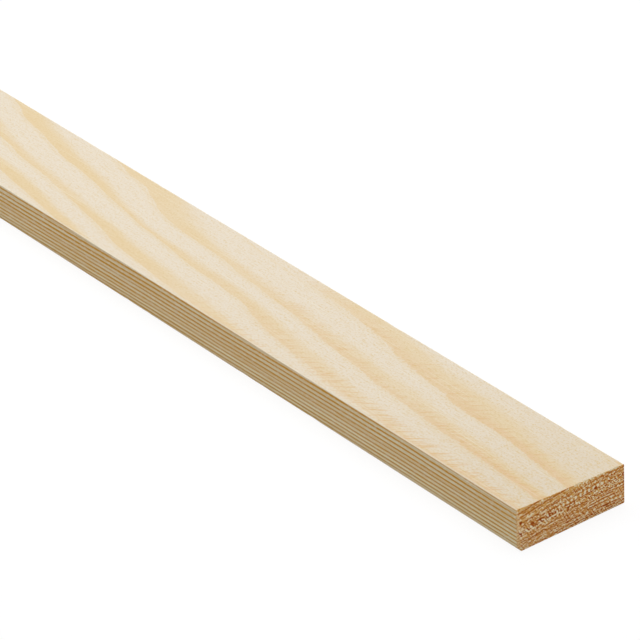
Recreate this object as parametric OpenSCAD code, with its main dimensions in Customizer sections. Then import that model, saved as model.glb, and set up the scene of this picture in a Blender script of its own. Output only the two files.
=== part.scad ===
// Planed softwood plank: one length of square-edged stock, lying flat on a wide face.
// The origin is under the middle of the plank. X runs along the grain, Y across the width, Z up.

/* [Stock] */
// Length between the two sawn ends
plank_length = 900; // [300:10:2400]
// Width of the two wide planed faces, edge to edge
plank_width = 46; // [20:1:200]
// Thickness between the two wide planed faces
plank_thickness = 15; // [9:1:50]

/* [Edges] */
// Radius that the planer and a light sanding leave on the four long edges
arris_radius = 0.5; // [0.2:0.1:4]

/* [Hidden] */
// Segments in a full circle of the rounded edges
arris_segments = 48;
// Middle of each rounded edge, measured from the middle of the section
arris_y = plank_width / 2 - arris_radius;
arris_z = plank_thickness / 2 - arris_radius;
planed_pine = [0.92, 0.86, 0.74];

// Cross-section of the stock: a rectangle whose four corners are eased to a small radius
module eased_section() {
    square([2 * arris_y, plank_thickness], center = true);
    square([plank_width, 2 * arris_z], center = true);
    for (side = [-1, 1], face = [-1, 1])
        translate([side * arris_y, face * arris_z])
            circle(r = arris_radius, $fn = arris_segments);
}

// The section run along the grain and cut off square at both ends
module plank() {
    color(planed_pine)
        translate([-plank_length / 2, 0, plank_thickness / 2])
            rotate([90, 0, 90])
                linear_extrude(height = plank_length)
                    eased_section();
}

plank();
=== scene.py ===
import math

import bpy
import numpy as np
from mathutils import Matrix, Vector


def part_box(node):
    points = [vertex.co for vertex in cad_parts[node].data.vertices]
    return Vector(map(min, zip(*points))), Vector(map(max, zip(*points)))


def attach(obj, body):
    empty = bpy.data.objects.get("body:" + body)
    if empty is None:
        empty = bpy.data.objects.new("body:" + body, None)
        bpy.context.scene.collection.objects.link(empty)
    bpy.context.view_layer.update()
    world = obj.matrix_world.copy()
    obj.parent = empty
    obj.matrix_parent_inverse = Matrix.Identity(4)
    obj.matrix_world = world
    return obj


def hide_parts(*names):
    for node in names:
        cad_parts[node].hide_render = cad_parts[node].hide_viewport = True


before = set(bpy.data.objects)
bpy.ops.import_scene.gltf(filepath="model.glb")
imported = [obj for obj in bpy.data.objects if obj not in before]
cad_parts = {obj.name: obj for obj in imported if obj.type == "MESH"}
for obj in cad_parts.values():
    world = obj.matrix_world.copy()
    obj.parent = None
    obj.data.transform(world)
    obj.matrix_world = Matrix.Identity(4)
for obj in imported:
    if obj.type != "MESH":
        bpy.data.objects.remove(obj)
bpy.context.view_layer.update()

# Plank
# One length of planed softwood, sawn from the outer part of a log with the bark side up. The growth rings
# lie almost flat in it: wide soft bands on the faces, fine lines on the edges, low arcs on the sawn ends.
MM = 0.001
plank_low, plank_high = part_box("plank")
width = (plank_high.y - plank_low.y) / MM
thickness = (plank_high.z - plank_low.z) / MM
near_x = plank_high.x / MM
half_width = width / 2
arris_radius = 0.3

# Growth rings, counted outwards to the bark, in rings and millimetres
ring_start = -1.435
rings_across = 0.0715
ring_bow = 0.00034
rings_along = 0.01135
sway = 0.60
sway_length = 800.0
sway_start = 2.67
sway_skew = -0.67
ripple = 0.06
ripple_length = 125.0
ripple_skew = 0.4
ring_pitch = 2.05
ring_closing = 0.008
# Bends of the rings: height in rings, middle from the near end and across, half length and half width
bends = (
    (0.25, 190.0, -8.0, 32.0, 8.0),
    (-0.22, 245.0, 10.0, 22.0, 7.0),
    (0.44, 0.0, 23.0, 60.0, 8.0),
    (0.30, 0.0, -23.0, 28.0, 9.0),
    (-0.14, 60.0, -23.0, 20.0, 8.0),
    (0.16, 120.0, 15.0, 60.0, 12.0),
    (0.12, 225.0, -2.0, 30.0, 7.0),
    (0.85, 650.0, 7.0, 85.0, 14.0),
    (-0.65, 510.0, -9.0, 60.0, 12.0),
)


def ring_number(x, y, z, sine, exponential):
    """Rings between a fixed ring and a point: on the upper face a sloping plane of rings, bowed across the
    width, that sways and ripples along the length, with each bend added as a smooth bump; below it the
    count falls with depth, faster towards the heart. It takes numpy arrays or the material's values."""
    back = near_x - x
    depth = thickness - z
    plane = ring_start - rings_across * y + ring_bow * y * y + rings_along * back
    swing = sway * sine((back + sway_skew * y) * (2 * math.pi / sway_length) + sway_start)
    shiver = ripple * sine((back + ripple_skew * y) * (2 * math.pi / ripple_length))
    rings = plane + swing + shiver - depth / ring_pitch - ring_closing * depth * depth
    for height, bend_back, bend_y, bend_length, bend_width in bends:
        away = (back - bend_back) / bend_length
        aside = (y - bend_y) / bend_width
        rings = rings + height * exponential(0 - away * away - aside * aside)
    return rings


noise_cells = (211, 197)


def lattice_noise(u, v, seed):
    """Smooth random heights from 0 to 1: seeded random numbers on a unit grid that repeats after some
    hundreds of cells, eased from one point to the next."""
    grid = np.random.default_rng(seed).random(noise_cells)
    column = np.floor(u).astype(int)
    row = np.floor(v).astype(int)
    a = u - column
    b = v - row
    a = a * a * (3 - 2 * a)
    b = b * b * (3 - 2 * b)

    def at(i, j):
        """The grid's own number at a cell."""
        return grid[i % grid.shape[0], j % grid.shape[1]]

    lower = at(column, row) * (1 - a) + at(column + 1, row) * a
    upper = at(column, row + 1) * (1 - a) + at(column + 1, row + 1) * a
    return lower * (1 - b) + upper * b


def ramp(value, start, end):
    """0 below start, 1 above end, eased in between."""
    t = np.clip((value - start) / (end - start), 0, 1)
    return t * t * (3 - 2 * t)


def ease_corners(y, z):
    """Rounds the section's corners: a point in the square by a corner keeps its share of the way to the
    outside, and is put on a quarter circle instead of on the two sides of the square."""
    middle = thickness / 2
    out_y = (np.abs(y) - (half_width - arris_radius)) / arris_radius
    out_z = (np.abs(z - middle) - (middle - arris_radius)) / arris_radius
    corner = (out_y > 0) & (out_z > 0)
    far = np.maximum(out_y, out_z)
    shrink = np.where(corner, far / np.hypot(np.maximum(out_y, 1e-9), np.maximum(out_z, 1e-9)), 1.0)
    moved_y = np.sign(y) * (half_width - arris_radius + out_y * shrink * arris_radius)
    moved_z = middle + np.sign(z - middle) * (middle - arris_radius + out_z * shrink * arris_radius)
    return np.where(corner, moved_y, y), np.where(corner, moved_z, z)


# The sawn ends: a fine grid over the section, roughened as the saw tore it
end_cell = 0.175
end_columns = round(width / end_cell)
end_rows = round(thickness / end_cell)
lip = 1.8
lip_carry_y = 0.71
lip_carry_z = -0.67
saw_cosine = 0.48
saw_sine = 0.88
ridge_height = 0.05
grain_height = 0.09
tear_height = 0.30
highest_relief = 0.35
torn_ring = -4.75
dotted_ring = -3.8
low_dotted_ring = -8.85
dot_spacing = 1.9
dot_radius = 0.38
chip_depth = 0.40
far_end_rings = 10
near_seed = 10
far_seed = 60
chip_seed = 10
dark_rings = (-0.1, -1.0, -2.45, -3.3, -4.2, -6.4, -7.5, -8.35, -9.5)
pale_rings = (-0.55, -1.8, -2.95, -5.3, -8.9, -10.8)
# Pockets: place across, ring, half width, and half height in rings
pockets = (
    (-21.4, -4.8, 0.35, 0.35),
    (-16.6, -4.0, 0.55, 0.30),
    (-12.9, -4.1, 1.25, 0.13),
    (-9.2, -4.2, 0.40, 0.25),
    (-21.5, -2.2, 0.40, 0.25),
    (-1.3, -5.2, 0.35, 0.28),
    (10.6, -4.1, 0.50, 0.20),
    (15.2, -9.4, 1.25, 0.13),
)
collar_steps = np.array([0.0, 0.2, 0.45, 0.8, 1.3, 2.0, 3.0, 4.5])
collar_depth = collar_steps[-1]


def ripples(u, v, seed):
    """Fine relief from -1 to 1 with no slow swell: the difference of smooth noise at two places a cell
    apart."""
    return lattice_noise(u, v, seed) - lattice_noise(u, v + 1, seed)


def dots(u, v, seed):
    """Scattered round spots from 0 to 1: the peaks of smooth noise."""
    return ramp(lattice_noise(u, v, seed), 0.60, 0.95)


def ring_lines(rings, places, half_height):
    """Soft lines from 0 to 1 along the rings: a smooth bump at each ring number given."""
    return sum(np.exp(-((rings - place) / half_height) ** 2) for place in places)


def lip_reach(y, z, side):
    """How far the saw cut runs past the square end, in millimetres: nothing along the upper and right-hand
    sides, growing evenly to the lower left-hand corner of the near end."""
    return lip * (side > 0) * (half_width - y) / width * (thickness - z) / thickness


def end_grain(y, z, side):
    """The torn surface of a sawn end: how far each point stands out from the saw cut, in millimetres, how
    pale it is, from 0 in a pit to 1 on a tuft, and how far it is a line of late wood. The paleness holds
    the wood's own tone and also painted light and shade: the fine relief is painted lit on one side and
    shaded on the other, tufts pale and pits and pockets dark, with a painted highlight down the left-hand
    arris. Streaks and small tufts follow the rings, a fine hatch leans across them as the saw left it, and
    there is an even grain over all. On the left the soft wood of one ring is torn into shreds, on the right
    two rings carry rows of bright dots, and pockets are torn out. The rings of the far end are counted from
    some further on, so that both ends have the same lines. Out on the lip it is all carried down and to the
    right."""
    seed = near_seed if side > 0 else far_seed
    # Painted highlight: a pale rim down the left-hand arris; a darker line down the right-hand arris
    border = 0.22 * ramp(-y, half_width - 0.7, half_width - 0.2)
    border = border - 0.20 * ramp(y, half_width - 0.8, half_width - 0.3)
    carried = lip_reach(y, z, side)
    y = y + lip_carry_y * carried
    z = z + lip_carry_z * carried
    rings = ring_number(side * near_x, y, z, np.sin, np.exp) - far_end_rings * (side < 0)
    bent = rings + (lattice_noise(y / 7.0, rings, seed + 8) - 0.5) * 0.2
    along = saw_cosine * y - saw_sine * z
    across = saw_sine * y + saw_cosine * z

    # Lines of late wood, unbroken in the calm wood by the bark side, and the pale wood between them
    calm = ramp(rings, -2.9, -1.4)
    unbroken = np.maximum(calm, ramp(lattice_noise(y / 1.6, bent, seed + 7), 0.15, 0.60))
    late = ring_lines(bent, dark_rings, 0.17) * (0.55 + 0.45 * unbroken)
    early = ring_lines(bent, pale_rings, 0.22)

    # Streaks along the rings, the saw's hatch, the even grain and the tufts
    patch = ramp(lattice_noise(y / 4.0, rings / 0.8, seed + 9), 0.2, 0.8)
    lines = ripples(y / 8.0, rings / 0.20, seed + 3)
    grain = 0.30 * ripples(y / 1.1, rings / 0.18, seed)
    grain = grain + 0.70 * np.minimum(lines, 0) + 0.20 * np.maximum(lines, 0)
    grain = grain + 0.42 * ripples(along / 2.6, across / 0.42, seed + 1) * (0.45 + 0.55 * patch)
    grain = grain + 0.52 * ripples(y / 0.42, z / 0.36, seed + 2)
    tufts = dots(y / 0.50, rings / 0.20, seed + 4) - 0.13
    grain = grain + tufts * (0.90 - 0.35 * ramp(-rings, 5.6, 6.4))
    middle = np.exp(-((rings - torn_ring) / 1.5) ** 2)
    grain = grain * (1 - 0.6 * late) * (1 - 0.40 * calm) * (0.9 + 0.2 * middle)

    # The torn ring, the rows of dots and the pockets
    shreds = 0.8 * ripples(y / 0.8, rings / 0.36, seed + 5)
    shreds = shreds + 1.3 * ripples(along / 1.6, across / 0.42, seed + 6)
    tear = np.exp(-((rings - torn_ring) / 0.50) ** 2) * ramp(-y, 4.0, 8.0) * (0.15 + shreds)
    row = np.exp(-((rings - dotted_ring) / 0.26) ** 2) * ramp(y, -7.5, -5.5) * ramp(-y, -16.0, -13.0)
    row = row + np.exp(-((rings - low_dotted_ring) / 0.22) ** 2) * ramp(y, 15.5, 17.0)
    grain = grain * (1 - 0.65 * row)
    place = (y + lattice_noise(y / 5.0, y * 0, seed + 11) * 0.9) / dot_spacing
    from_dot = (place - np.floor(place) - 0.5) * dot_spacing
    dotted = row * (1.2 * np.exp(-(from_dot / dot_radius) ** 2) - 0.15)
    hollow = np.zeros_like(y)
    for pocket_y, pocket_ring, pocket_width, pocket_height in pockets:
        aside = (y * side - pocket_y) / pocket_width
        above = (rings - pocket_ring) / pocket_height
        hollow = hollow + np.exp(-aside * aside - above * above)

    relief = ridge_height * late + grain_height * grain + tear_height * (tear + 0.8 * dotted - hollow)
    # Paleness: the wood's own tone in the lines of late and early wood, and painted light and shade on the
    # relief, lit on one side of each ripple and shaded on the other, with the pockets and the darkest pits
    # painted dark as shade
    shade = 0.60 + 1.40 * grain + 1.45 * tear + 1.3 * dotted - 1.4 * hollow + 0.05 * early
    shade = shade + border - late * (0.05 + 0.08 * calm)
    shade = shade - 0.4 * np.maximum(0.34 - shade, 0)
    return relief, shade, late * (0.9 + 0.25 * calm)


def chips(y, side):
    """How far the upper arris of a sawn end is chipped back, in millimetres: ragged teeth on the right-hand
    half, where two smooth noises, one fine and one coarse, are both high."""
    seed = (near_seed if side > 0 else far_seed) + chip_seed
    teeth = ramp(lattice_noise(y / 0.6, y * 0, seed), 0.3, 0.8)
    teeth = teeth * ramp(lattice_noise(y / 4.0, y * 0, seed + 1), 0.1, 0.6)
    return chip_depth * teeth * ramp(y, -3.0, 4.0) * ramp(-y, 0.5 - half_width, 2.5 - half_width)


def loop_of(grid):
    """The border of a grid, once round: lower side, right side, upper side, left side."""
    return np.concatenate([grid[:-1, 0], grid[-1, :-1], grid[:0:-1, -1], grid[0, :0:-1]])


def end_plate(side):
    """One sawn end: the grid of points over the section, and the fine rings that lead from its border back
    to the planed faces, following the chips and the lip less and less."""
    y, z = np.meshgrid(
        np.linspace(-half_width, half_width, end_columns + 1),
        np.linspace(0, thickness, end_rows + 1),
        indexing="ij",
    )
    y, z = ease_corners(y, z)
    inset = np.minimum(half_width - np.abs(y), np.minimum(z, thickness - z))
    relief, shade, late_line = end_grain(y, z, side)
    upper = ramp(z, thickness - 1.1, thickness - 0.2)
    chipped = chips(y, side) * upper
    shade = shade + chipped / chip_depth * 0.5
    torn = np.minimum(relief, highest_relief) * ramp(inset, -0.1, 0.5)
    cut = lip_reach(y, z, side) - chipped + torn
    plate = np.stack([side * (near_x + cut), y, z], -1)
    rim_y = loop_of(y)
    rim_z = loop_of(z)
    rim_cut = loop_of(cut)
    steps = collar_steps[1:, None]
    x = side * (near_x + rim_cut * (1 - steps / collar_depth) - steps)
    rings = np.stack([x, np.broadcast_to(rim_y, x.shape), np.broadcast_to(rim_z, x.shape)], -1)
    return plate, shade, late_line, rings


# The planed length: coarse rings of points, close together only round the four eased arrises
ring_step = 2.5
collar_gap = 0.8
width_steps = 14
thickness_steps = 6
arris_share = np.array([0.0, 0.34, 0.67, 1.0, 1.7])
dent_depth = 0.08
dent_length = 6.0
dent_seed = 31


def side_places(size, count):
    """Places along one side of the section: a few round each arris and the rest evenly between them."""
    start = arris_share * arris_radius
    middle = np.linspace(start[-1], size - start[-1], count + 1)[1:-1]
    return np.concatenate([start, middle, size - start[::-1]])


def round_places(along_y, along_z):
    """How far round the section each point of its border is: lower side, right side, upper side, left
    side."""
    return np.concatenate([
        along_y[:-1],
        width + along_z[:-1],
        width + thickness + along_y[:-1],
        2 * width + thickness + along_z[:-1],
    ])


def planed_length():
    """The planed part of the plank: the eased section carried along the grain, with small dents in its
    arrises where smooth noise along each of them is high."""
    along_y = side_places(width, width_steps)
    along_z = side_places(thickness, thickness_steps)
    count_y = len(along_y) - 1
    count_z = len(along_z) - 1
    y = np.concatenate([along_y[:-1], np.full(count_z, width), along_y[:0:-1], np.zeros(count_z)])
    z = np.concatenate([np.zeros(count_y), along_z[:-1], np.full(count_y, thickness), along_z[:0:-1]])
    y, z = ease_corners(y - half_width, z)
    reach = near_x - collar_depth - collar_gap
    x = np.linspace(reach, -reach, round(2 * reach / ring_step))[:, None]
    corner_y = half_width - np.abs(y)
    corner_z = thickness / 2 - np.abs(z - thickness / 2)
    near_corner = ramp(1.2 - corner_y - corner_z, 0, 1)
    which = (y > 0) * 2 + (z > thickness / 2)
    dent = ramp(lattice_noise(x / dent_length, which * 7.3 + x / 900, dent_seed), 0.72, 1.0)
    dent = dent * dent_depth * near_corner
    points = np.empty((len(x), len(y), 3))
    points[..., 0] = x
    points[..., 1] = y - np.sign(y) * dent
    points[..., 2] = z - np.sign(z - thickness / 2) * dent
    return points, round_places(along_y, along_z)


def strip(rows, around):
    """Quads of a grid of rings that close on themselves, wound to face outwards, as row and column
    numbers."""
    r, m = np.mgrid[0:rows - 1, 0:around]
    r = np.stack([r, r + 1, r + 1, r], -1).reshape(-1, 4)
    m = np.stack([m, m, m + 1, m + 1], -1).reshape(-1, 4)
    return r, m


def zipper(place_a, place_b, round_length):
    """Triangles that join two rings with different numbers of points: whichever ring's next side has its
    middle first moves on. Gives the corners as point numbers, negative less one on the second ring."""
    next_a = np.append(place_a[1:], round_length)
    next_b = np.append(place_b[1:], round_length)
    middle_a = (place_a + next_a) / 2
    middle_b = (place_b + next_b) / 2
    a = np.arange(len(place_a))
    b = np.arange(len(place_b))
    k = np.searchsorted(middle_b, middle_a)
    j = np.searchsorted(middle_a, middle_b)
    first = np.stack([a, -1 - k, a + 1], -1)
    second = np.stack([j, -1 - b, -2 - b], -1)
    return np.concatenate([first, second])


near_plate, near_shade, near_late, near_rings = end_plate(1)
far_plate, far_shade, far_late, far_rings = end_plate(-1)
body, body_place = planed_length()
round_length = 2 * (width + thickness)
fine_rows, fine_count = near_rings.shape[:2]
fine_place = round_places(np.linspace(0, width, end_columns + 1), np.linspace(0, thickness, end_rows + 1))

parts = [near_plate, near_rings, body, far_rings[::-1], far_plate]
starts = np.cumsum([0] + [part.size // 3 for part in parts])
points = np.concatenate([part.reshape(-1, 3) for part in parts])
plate_index = np.arange(near_plate.size // 3).reshape(near_plate.shape[:2])
near_border = loop_of(plate_index) + starts[0]
far_border = loop_of(plate_index) + starts[4]
collar_index = np.arange(fine_rows * fine_count).reshape(fine_rows, fine_count)
near_table = np.concatenate([near_border[None], starts[1] + collar_index])
far_table = np.concatenate([starts[3] + collar_index, far_border[None]])
body_table = starts[2] + np.arange(body.size // 3).reshape(body.shape[:2])

# The bake map: the planed length in eight lengths side by side, with the two ends in the ninth place
map_places = 3
map_side = 124.0
map_margin = 1.5
map_scale = 1 / (map_places * map_side)
body_lengths = 8
ends_cell = 8
end_zoom = 2.4
near_plate_place = 0.0
far_plate_place = 38.0
near_collar_place = 78.0
near_join_place = 84.0
far_join_place = 88.0
far_collar_place = 92.0
faces = []
face_maps = []


def map_cell(number, across, along):
    """Map places in the nine squares, for millimetres measured from the lower left-hand corner of one."""
    corner = np.stack([number % map_places, number // map_places], -1) * map_side + map_margin
    return (np.stack([across, along], -1) + corner) * map_scale


def add_faces(corners, places):
    """Adds faces, given by the numbers of their points, with the places of their corners on the map."""
    faces.extend(corners.tolist())
    face_maps.append(places.reshape(-1, 2))


def add_plate(start, flip, along):
    """Quads over one sawn end, with its place in the ninth square of the map."""
    i, j = np.mgrid[0:end_columns, 0:end_rows]
    i = np.stack([i, i + 1, i + 1, i], -1).reshape(-1, 4)
    j = np.stack([j, j, j + 1, j + 1], -1).reshape(-1, 4)
    if flip:
        i, j = i[:, ::-1], j[:, ::-1]
    places = map_cell(ends_cell, i * end_cell * end_zoom, along + j * end_cell * end_zoom)
    add_faces(start + plate_index[i, j], places)


def add_strip(table, place, x, cell_of_row, origin_of_row):
    """Quads between rings of points, rolled out flat on the map."""
    rows, around = table.shape
    r, m = strip(rows, around)
    place = np.append(place, round_length)
    first = r.min(1)
    cell = cell_of_row[first][:, None].repeat(4, 1)
    origin = origin_of_row[first][:, None]
    places = map_cell(cell, place[m], origin - x[r])
    add_faces(table[r, m % around], places)


def add_zipper(table_a, table_b, place_a, place_b, along):
    """Triangles between two rings of points, as a strip one millimetre wide on the map."""
    corners = zipper(place_a, place_b, round_length)
    on_a = corners >= 0
    a = np.where(on_a, corners, 0)
    b = np.where(on_a, 0, -1 - corners)
    wrapped_a = np.append(place_a, round_length)
    wrapped_b = np.append(place_b, round_length)
    across = np.where(on_a, wrapped_a[a], wrapped_b[b])
    index = np.where(on_a, table_a[a % len(table_a)], table_b[b % len(table_b)])
    add_faces(index, map_cell(ends_cell, across, along + np.where(on_a, 0.0, 1.0)))


rows_each = math.ceil((len(body) - 1) / body_lengths)
body_x = body[:, 0, 0]
cell_of_row = np.arange(len(body)) // rows_each
origin_of_row = body_x[np.minimum(cell_of_row * rows_each, len(body) - 1)]
collar_x = -collar_steps
one_cell = np.full(len(collar_steps), ends_cell)
near_origin = np.full(len(collar_steps), near_collar_place)
far_origin = np.full(len(collar_steps), far_collar_place)
add_plate(starts[0], False, near_plate_place)
add_plate(starts[4], True, far_plate_place)
add_strip(near_table, fine_place, collar_x, one_cell, near_origin)
add_zipper(near_table[-1], body_table[0], fine_place, body_place, near_join_place)
add_strip(body_table, body_place, body_x, cell_of_row, origin_of_row)
add_zipper(body_table[-1], far_table[0], body_place, fine_place, far_join_place)
add_strip(far_table, fine_place, collar_x, one_cell, far_origin)

plank_mesh = bpy.data.meshes.new("plank_wood")
plank_mesh.from_pydata((points * MM).tolist(), [], faces)
plank_mesh.polygons.foreach_set("use_smooth", np.ones(len(faces), bool))
bake_map = plank_mesh.uv_layers.new(name="OFBake")
bake_map.data.foreach_set("uv", np.concatenate(face_maps).astype(np.float32).ravel())

# Marks on the points that the material reads: how far a point is an edge, how far it is sawn, how pale the
# torn end grain is there, its own tone with painted light and shade on its relief, and how far it is a line
# of late wood
edge_mark = ramp(np.abs(points[:, 1]), half_width - 0.3, half_width - 0.05)
sawn_mark = np.zeros(len(points))
shade_mark = np.full(len(points), 0.5)
late_mark = np.zeros(len(points))
for start, shade, late_line in ((starts[0], near_shade, near_late), (starts[4], far_shade, far_late)):
    on_plate = slice(start, start + shade.size)
    sawn_mark[on_plate] = 1
    shade_mark[on_plate] = shade.ravel()
    late_mark[on_plate] = late_line.ravel()
for name, values in (("edge", edge_mark), ("sawn", sawn_mark), ("shade", shade_mark), ("late", late_mark)):
    mark = plank_mesh.attributes.new(name, "FLOAT", "POINT")
    mark.data.foreach_set("value", values.astype(np.float32))
on_border = np.zeros(len(points), bool)
on_border[near_border] = True
on_border[far_border] = True
edge_ends = np.empty(len(plank_mesh.edges) * 2, np.int32)
plank_mesh.edges.foreach_get("vertices", edge_ends)
sharp = on_border[edge_ends.reshape(-1, 2)].all(1)
plank_mesh.attributes.new("sharp_edge", "BOOLEAN", "EDGE").data.foreach_set("value", sharp)
plank = bpy.data.objects.new("plank_wood", plank_mesh)
bpy.context.scene.collection.objects.link(plank)


class Flow:
    """A number or colour that flows through a material's nodes. Arithmetic on it adds Math nodes."""

    def __init__(self, tree, output):
        self.tree = tree
        self.output = output

    def node(self, kind, settings, inputs, output=0):
        """Adds a node, makes its settings, then fills its inputs with numbers, colours or links."""
        made = self.tree.nodes.new(kind)
        for name, value in settings.items():
            setattr(made, name, value)
        for name, value in inputs.items():
            if isinstance(value, Flow):
                self.tree.links.new(value.output, made.inputs[name])
            else:
                made.inputs[name].default_value = value
        return Flow(self.tree, made.outputs[output])

    def maths(self, operation, *others):
        """Adds a Math node that works on this number and the others."""
        return self.node("ShaderNodeMath", {"operation": operation}, dict(enumerate((self, *others))))

    def __add__(self, other):
        return self.maths("ADD", other)

    __radd__ = __add__

    def __sub__(self, other):
        return self.maths("SUBTRACT", other)

    def __rsub__(self, other):
        return self.node("ShaderNodeMath", {"operation": "SUBTRACT"}, {0: other, 1: self})

    def __mul__(self, other):
        return self.maths("MULTIPLY", other)

    __rmul__ = __mul__

    def __truediv__(self, other):
        return self.maths("DIVIDE", other)

    def ease(self, start, end):
        """0 below start, 1 above end, eased in between."""
        inputs = {"Value": self, "From Min": start, "From Max": end}
        return self.node("ShaderNodeMapRange", {"interpolation_type": "SMOOTHSTEP"}, inputs)

    def noise(self, x, y, z, detail=2.0):
        """Noise from 0 to 1 at a place given in units of its own grain."""
        place = self.node("ShaderNodeCombineXYZ", {}, {0: x, 1: y, 2: z})
        return self.node("ShaderNodeTexNoise", {}, {"Vector": place, "Scale": 1.0, "Detail": detail})

    def mix(self, first, second):
        """The first colour where this is 0 and the second where it is 1."""
        settings = {"data_type": "RGBA"}
        return self.node("ShaderNodeMix", settings, {0: self, 6: first, 7: second}, output=2)


# The colours that faces and edges share: dark fibres, and pale threads that catch the light, whose colour
# also paints the highlight along the upper arrises
fibre = (0.760, 0.570, 0.270, 1)
thread_and_highlight = (0.930, 0.850, 0.690, 1)
tear_lean = math.radians(48)
tear_spacing = 5.4


def planer_tears(start, x, y, z):
    """Short slanting tears that the planer left, from 0 to 1: on the left a row of thin lines, the middles of
    a sawtooth along the grain, and between them finer strokes, the peaks of slanting noise."""
    slant = x - y / math.tan(tear_lean)
    row = (slant / tear_spacing + start.noise(slant / 23, y / 9, 0.0, 0.0) * 1.2).maths("FRACT")
    row = 1 - ((row - 0.5).maths("ABSOLUTE") * 2).ease(0.0, 0.24)
    row = row * start.noise(x / 30, y / 7, 3.0, 1.0).ease(0.25, 0.5)
    strokes = start.noise(slant, y / 6, z / 6, 1.0).ease(0.50, 0.72)
    return (row * (0 - y).ease(-4, 15)).maths("MAXIMUM", strokes * 0.7)


def face_colour(start, x, y, z, rings, fleck, pebble):
    """The planed faces: in each ring a soft band that starts slowly, blushes outwards and stops short, with
    the planer's tears in it near the sawn end, and flecks and threads along the grain over all. Towards the
    near end the face is drawn darker and greyer, a painted shade."""
    early = (0.858, 0.764, 0.630, 1)
    near_end_shade = (0.822, 0.718, 0.572, 1)
    tan = (0.840, 0.670, 0.416, 1)
    blush = (0.825, 0.580, 0.350, 1)
    torn = (0.765, 0.485, 0.225, 1)
    back = near_x - x
    ahead = x - near_x
    left = 0 - y
    nearness = ahead.ease(-230, -85) * 0.85 + 0.15
    tears = planer_tears(start, x, y, z) * nearness
    face_rings = rings + tears * 0.09
    count = face_rings.maths("FLOOR")
    part = face_rings.maths("FRACT")

    # Where in its ring a band starts, which goes up and down along the plank, earliest in one broad ring
    turn = ((near_x - 165 - x) / 220 - (count + 1) * 0.373) * (2 * math.pi)
    broad_ring = 1 - (count + 2).maths("ABSOLUTE").ease(0.0, 1.2)
    next_ring = 1 - (count + 1).maths("ABSOLUTE").ease(0.0, 1.0)
    early_ring = broad_ring * (back.ease(5, 65) - back.ease(150, 200)) * -0.30
    early_ring = early_ring - next_ring * (back.ease(55, 90) - back.ease(115, 150)) * 0.13
    start_place = turn.maths("COSINE") * 0.12 + start.noise(x / 60, count * 3.7, 0.5, 1.0) * 0.2
    start_place = start_place + early_ring + 0.475

    # How strong a band is, weaker along the middle, where the broad ring runs out, and by the left edge
    strength = start.noise(x / 60, count * 5.1, 2.5, 1.0).ease(0.25, 0.6) * 0.32 + 0.70
    middle = back.ease(40, 100) - back.ease(190, 240)
    strength = strength * (1 - middle * 0.24) * (1 - broad_ring * back.ease(140, 185))
    strength = strength * (1 - left.ease(14, 19) * ahead.ease(-150, -70) * 0.35)

    # The bands, their blush and the tears
    stop = 1 - part.ease(0.95, 1.0)
    tail = (1 - part.ease(0.0, 0.13)) * 0.45
    band = ((part - start_place).ease(-0.12, 0.24) * stop + tail) * strength
    flush = part.ease(0.62, 0.90) * stop * nearness
    past = (1 - part.ease(0.05, 0.30)) * left.ease(8, 16) * 0.8
    reach = (part + left.ease(12, 20) * 0.2).ease(0.45, 0.85).maths("MAXIMUM", past)
    # Painted shade: the face turns darker and greyer over the last 90 mm towards the near end
    face = ahead.ease(-90, 5).mix(early, near_end_shade)
    face = band.mix(face, tan)
    face = (flush * strength * (ahead.ease(-100, -20) * 0.35 + 0.45)).mix(face, blush)
    face = (reach * (stop + tail) * tears * 0.80).mix(face, torn)

    # Flecks and threads
    strand = start.noise(x / 35, y / 0.35, z / 0.35, 1.0)
    rough = fleck.ease(0.45, 0.80) * 0.50 + pebble.ease(0.48, 0.80) * 0.95
    face = (rough * (nearness * 0.25 + 0.75 + ahead.ease(-60, 0) * 0.25)).mix(face, fibre)
    return (strand.ease(0.62, 0.74) * 0.50 + (1 - pebble).ease(0.52, 0.80) * 0.30).mix(face, thread_and_highlight)


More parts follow.
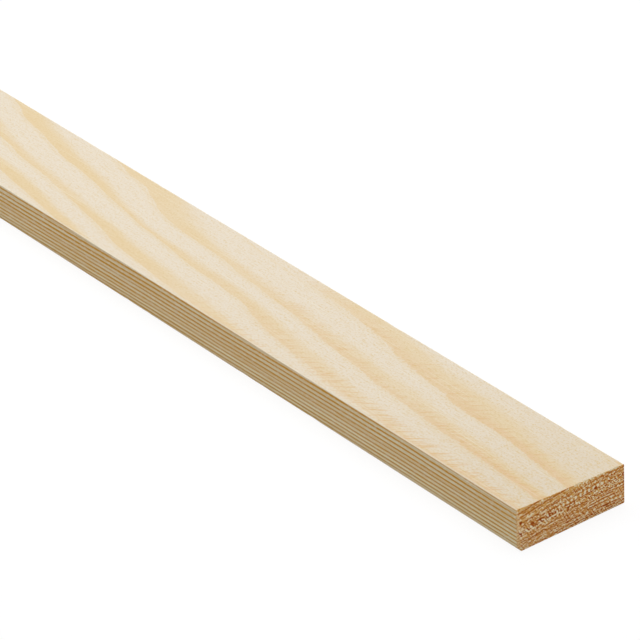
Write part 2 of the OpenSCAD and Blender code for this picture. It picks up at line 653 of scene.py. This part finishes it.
def edge_colour(start, x, y, z, rings, pebble):
    """The planed long edges: thin dark lines of late wood, stronger near the bark side, with fainter ones
    between, a lower part painted paler as fill light, a dark foot of painted shade, and a strip of leaning
    strands where the saw frayed the ends."""
    edge_early = (0.740, 0.672, 0.478, 1)
    painted_low_fill = (0.862, 0.800, 0.565, 1)
    edge_late_and_foot_shade = (0.590, 0.270, 0.000, 1)
    fray = (0.900, 0.640, 0.320, 1)
    fray_dark = (0.480, 0.190, 0.030, 1)
    count = rings.maths("FLOOR")
    part = rings.maths("FRACT")

    # Lines: how late in its ring each starts, how heavy it is, and how faint the one between
    narrow = start.noise(x / 150, count * 2.3, 7.5, 1.0) * 0.4 - 0.2
    heavy = start.noise(x / 250, count * 4.1, 1.5, 1.0).ease(0.30, 0.70) * 0.6 + 0.7
    faint = start.noise(x / 200, count * 7.7, 4.5, 1.0).ease(0.35, 0.62) * 0.4 + 0.50
    line = (part - narrow).ease(0.46, 0.68) - part.ease(0.97, 1.0)
    line = line * (z / thickness * 0.95 + 0.85) * heavy
    second = (part.ease(0.12, 0.18) - part.ease(0.28, 0.36)) * (1.7 - heavy) * faint
    streak = start.noise(x / 80, y / 0.45, z / 0.45, 2.0)
    grit = start.noise(x / 4, y / 0.3, z / 0.28, 1.0)
    # Painted fill light: the lower part of the edge is drawn paler, standing in for light thrown up from the
    # floor
    side = z.ease(0.0, 9.0).mix(painted_low_fill, edge_early)
    side = (line + second + (streak - 0.52) * 1.7 + (grit - 0.5) * 0.5).mix(side, edge_late_and_foot_shade)
    side = (pebble.ease(0.50, 0.75) * 0.50).mix(side, thread_and_highlight)
    side = ((1 - pebble).ease(0.50, 0.75) * 0.40).mix(side, fibre)

    # The dark foot, a painted shade where the edge meets the floor, and the frayed strips
    side = ((1 - z.ease(0.1, 1.1)) * 0.40).mix(side, edge_late_and_foot_shade)
    strands = ((z - x) / 1.2 + (streak - 0.5) * 2).maths("FRACT")
    strands = strands.ease(0.10, 0.45) - strands.ease(0.70, 1.0)
    frayed = (x.maths("ABSOLUTE") - near_x + (streak - 0.5) * 0.8).ease(-0.6, 0.0)
    return frayed.mix(side, strands.mix(fray_dark, fray))


def end_colour(start, x, y, z, rings, shade, late):
    """The sawn ends: brown, warmer towards the bark side, dark in the late wood and in the pits, pale on
    the tufts. The dark of the pits is partly painted shade and the pale of the tufts partly painted
    highlight."""
    end_wood = (0.785, 0.404, 0.105, 1)
    end_warm = (0.805, 0.430, 0.095, 1)
    end_late = (0.540, 0.150, 0.000, 1)
    tuft_and_highlight = (1.000, 0.880, 0.610, 1)
    pit_and_shade = (0.410, 0.070, 0.000, 1)
    speck = start.noise(x / 0.5, y / 0.5, z / 0.4, 2.0)
    tone = shade + (speck - 0.5) * 0.4
    end = rings.ease(-11, -3).mix(end_wood, end_warm)
    end = late.mix(end, end_late)
    # Painted light and shade: the tufts' colour is partly a painted highlight, the pits' colour partly
    # painted shade
    end = (tone * 2 - 1).mix(end, tuft_and_highlight)
    return (1 - tone * 2).mix(end, pit_and_shade)


def softwood():
    """Bare planed pine. Its colour comes from the place of each point within its growth ring, drawn softly
    on the faces, finely on the edges and darkly on the sawn ends. Painted light and shade are added to it:
    a painted highlight along the upper arrises, painted shade on the faces towards the near end and along
    the foot of the edges, a painted fill on the lower part of the edges, and the painted lit and shaded
    relief of the sawn ends."""
    made = bpy.data.materials.new("softwood")
    made.use_nodes = True
    tree = made.node_tree
    shader = tree.nodes["Principled BSDF"]
    shader.inputs["Roughness"].default_value = 0.62
    shader.inputs["Specular IOR Level"].default_value = 0.12
    start = Flow(tree, tree.nodes.new("ShaderNodeTexCoord").outputs["Object"])
    x, y, z = [start.node("ShaderNodeSeparateXYZ", {}, {0: start}, output=axis) / MM for axis in range(3)]
    edge, sawn, shade, late = [
        start.node("ShaderNodeAttribute", {"attribute_name": name}, {}, output=2)
        for name in ("edge", "sawn", "shade", "late")
    ]

    # Ring count, wandering along the fibres
    rings = ring_number(x, y, z, lambda a: a.maths("SINE"), lambda a: a.maths("EXPONENT"))
    tongues = (start.noise(x / 45, y / 5, z / 2.5, 1.0) - 0.5) * 0.22
    wander = (start.noise(x / 24, y / 10, z / 5, 1.0) - 0.5) * 0.16
    rings = rings + tongues + wander

    fleck = start.noise(x / 4.5, y / 0.75, z / 0.75, 3.0)
    pebble = start.noise(x / 0.95, y / 0.6, z / 0.6, 2.0)
    face = face_colour(start, x, y, z, rings, fleck, pebble)
    side = edge_colour(start, x, y, z, rings, pebble)
    end = end_colour(start, x, y, z, rings, shade, late)
    # Painted highlight: the upper arrises are drawn pale in the threads' colour
    arris_highlight = y.maths("ABSOLUTE").ease(half_width - 0.6, half_width - 0.3)
    arris_highlight = arris_highlight * z.ease(thickness - 0.5, thickness - 0.15)
    colour = edge.mix(face, side)
    colour = (arris_highlight * 0.7).mix(colour, thread_and_highlight)
    colour = sawn.mix(colour, end)
    tree.links.new(colour.output, shader.inputs["Base Color"])
    height = fleck * 0.6 + pebble * 0.4
    bump = start.node("ShaderNodeBump", {}, {"Strength": 0.12, "Distance": 0.0002, "Height": height})
    tree.links.new(bump.output, shader.inputs["Normal"])
    return made


plank_mesh.materials.append(softwood())
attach(plank, "root")
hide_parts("plank")

# Floor and light
# A plain white sweep under the plank, a large soft lamp above and behind it, and even white light all
# round. The camera sees the world and most of the floor as white, and the floor keeps a faint shadow.
floor_half = 15.0
floor_gap = 0.0002
floor_glow = 1.04
floor_glow_share = 0.85
sky_light = 0.35
lamp_width = 1.2
lamp_depth = 0.9
lamp_power = 9.75
lamp_place = Vector((0.06, 0.14, 1.1))
lamp_aim = Vector((0.06, 0.0, 0.0))

floor_mesh = bpy.data.meshes.new("floor")
floor_signs = ((-1, -1), (1, -1), (1, 1), (-1, 1))
floor_corners = [(i * floor_half, j * floor_half, -floor_gap) for i, j in floor_signs]
floor_mesh.from_pydata(floor_corners, [], [(0, 1, 2, 3)])
floor = bpy.data.objects.new("floor", floor_mesh)
bpy.context.scene.collection.objects.link(floor)
floor_paper = bpy.data.materials.new("floor_paper")
floor_paper.use_nodes = True
paper_tree = floor_paper.node_tree
paper = paper_tree.nodes["Principled BSDF"]
paper.inputs["Base Color"].default_value = (0.93, 0.93, 0.93, 1)
paper.inputs["Roughness"].default_value = 0.9
paper.inputs["Specular IOR Level"].default_value = 0.1
path = Flow(paper_tree, paper_tree.nodes.new("ShaderNodeLightPath").outputs["Is Camera Ray"])
glow = path.node("ShaderNodeEmission", {}, {"Color": (1, 1, 1, 1), "Strength": floor_glow})
lit = Flow(paper_tree, paper.outputs[0])
seen = path.node("ShaderNodeMixShader", {}, {0: path * floor_glow_share, 1: lit, 2: glow})
paper_tree.links.new(seen.output, paper_tree.nodes["Material Output"].inputs["Surface"])
floor_mesh.materials.append(floor_paper)

world = bpy.data.worlds.new("studio")
bpy.context.scene.world = world
world.use_nodes = True
sky_tree = world.node_tree
sky = sky_tree.nodes["Background"]
ray = sky_tree.nodes.new("ShaderNodeLightPath")
camera_ray = Flow(sky_tree, ray.outputs["Is Camera Ray"])
glossy_ray = Flow(sky_tree, ray.outputs["Is Glossy Ray"])
clear_ray = Flow(sky_tree, ray.outputs["Is Transmission Ray"])
direct = camera_ray.maths("MAXIMUM", glossy_ray).maths("MAXIMUM", clear_ray)
sky_tree.links.new((direct * (1 - sky_light) + sky_light).output, sky.inputs["Strength"])
sky.inputs["Color"].default_value = (1, 1, 1, 1)

lamp_data = bpy.data.lights.new("soft_lamp", "AREA")
lamp_data.shape = "RECTANGLE"
lamp_data.size = lamp_width
lamp_data.size_y = lamp_depth
lamp_data.energy = lamp_power
lamp = bpy.data.objects.new("soft_lamp", lamp_data)
bpy.context.scene.collection.objects.link(lamp)
lamp.location = lamp_place
lamp.rotation_mode = "QUATERNION"
lamp.rotation_quaternion = (lamp_aim - lamp_place).to_track_quat("-Z", "Y")

# Camera
# A long lens from the front right, looking down on the near end, with the far end out of the picture.
view_azimuth = math.radians(54.683)
view_elevation = math.radians(28.607)
view_roll = math.radians(-2.592)
view_distance = 1.6040
view_aim = Vector((plank_high.x - 0.15851, 0.01353, 0.0075))
view_lens = 251.0
view_sensor = 36.0
back = Vector((
    math.sin(view_azimuth) * math.cos(view_elevation),
    -math.cos(view_azimuth) * math.cos(view_elevation),
    math.sin(view_elevation),
))
right = Vector((0, 0, 1)).cross(back).normalized()
up = back.cross(right)
rolled_right = right * math.cos(view_roll) + up * math.sin(view_roll)
rolled_up = up * math.cos(view_roll) - right * math.sin(view_roll)
camera_data = bpy.data.cameras.new("camera")
camera_data.lens = view_lens
camera_data.sensor_width = view_sensor
camera_data.clip_start = 0.01
camera_data.clip_end = 100.0
camera = bpy.data.objects.new("camera", camera_data)
bpy.context.scene.collection.objects.link(camera)
turn = Matrix((rolled_right, rolled_up, back)).transposed()
camera.matrix_world = Matrix.Translation(view_aim + back * view_distance) @ turn.to_4x4()
bpy.context.scene.camera = camera
bpy.context.scene.view_settings.view_transform = "Standard"
